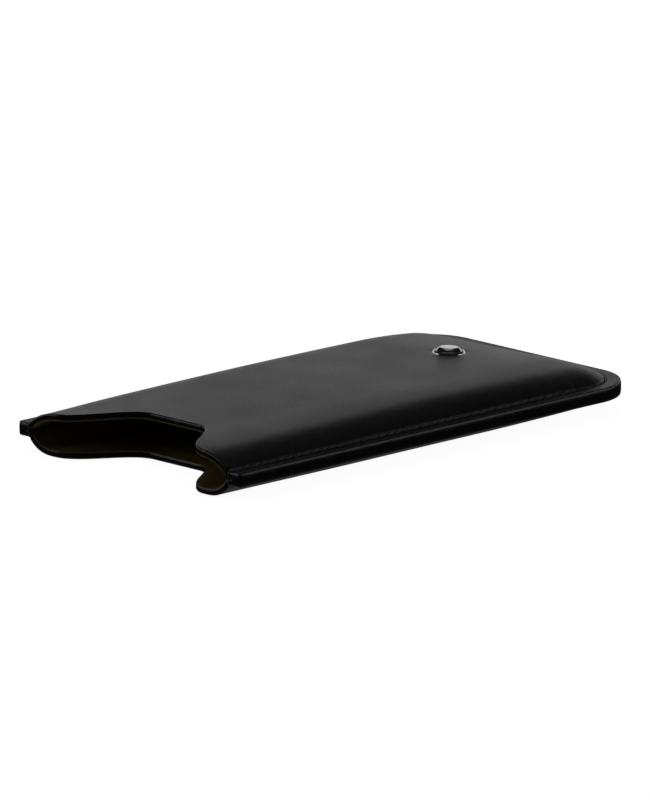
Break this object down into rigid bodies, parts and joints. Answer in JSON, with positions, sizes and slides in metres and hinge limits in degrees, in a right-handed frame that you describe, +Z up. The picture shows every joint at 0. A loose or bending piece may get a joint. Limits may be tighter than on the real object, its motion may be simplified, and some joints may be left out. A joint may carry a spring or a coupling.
{
  "type": "leather slip-in sleeve",
  "caption": "Slim stitched leather sleeve, open at one end, with a thumb notch through both panels and a domed stud near the closed end.",
  "frame": {"origin": "on the surface that the sleeve lies on, under the middle of its length and width", "axes": "+Z up through the front panel, +Y from the mouth to the closed end, +X across"},
  "size_m": [0.082, 0.146, 0.0137],
  "materials": {
    "black_leather": "smooth fine-grained black leather, satin, with painted cut edges",
    "stiffener_board": "pressed fibre board, never seen",
    "lining": "matt dark khaki microfibre",
    "thread": "twisted bonded polyester thread",
    "bezel_metal": "polished",
    "dome_metal": "polished",
    "rivet_steel": "plain"
  },
  "bodies": {
    "root": {"front_leather": "black_leather", "front_board": "stiffener_board", "front_lining": "lining", "back_leather": "black_leather", "back_board": "stiffener_board", "back_lining": "lining", "needle_thread": "thread", "bobbin_thread": "thread", "stud_bezel": "bezel_metal", "stud_dome": "dome_metal", "stud_rivet": "rivet_steel"}
  },
  "joints": []
}
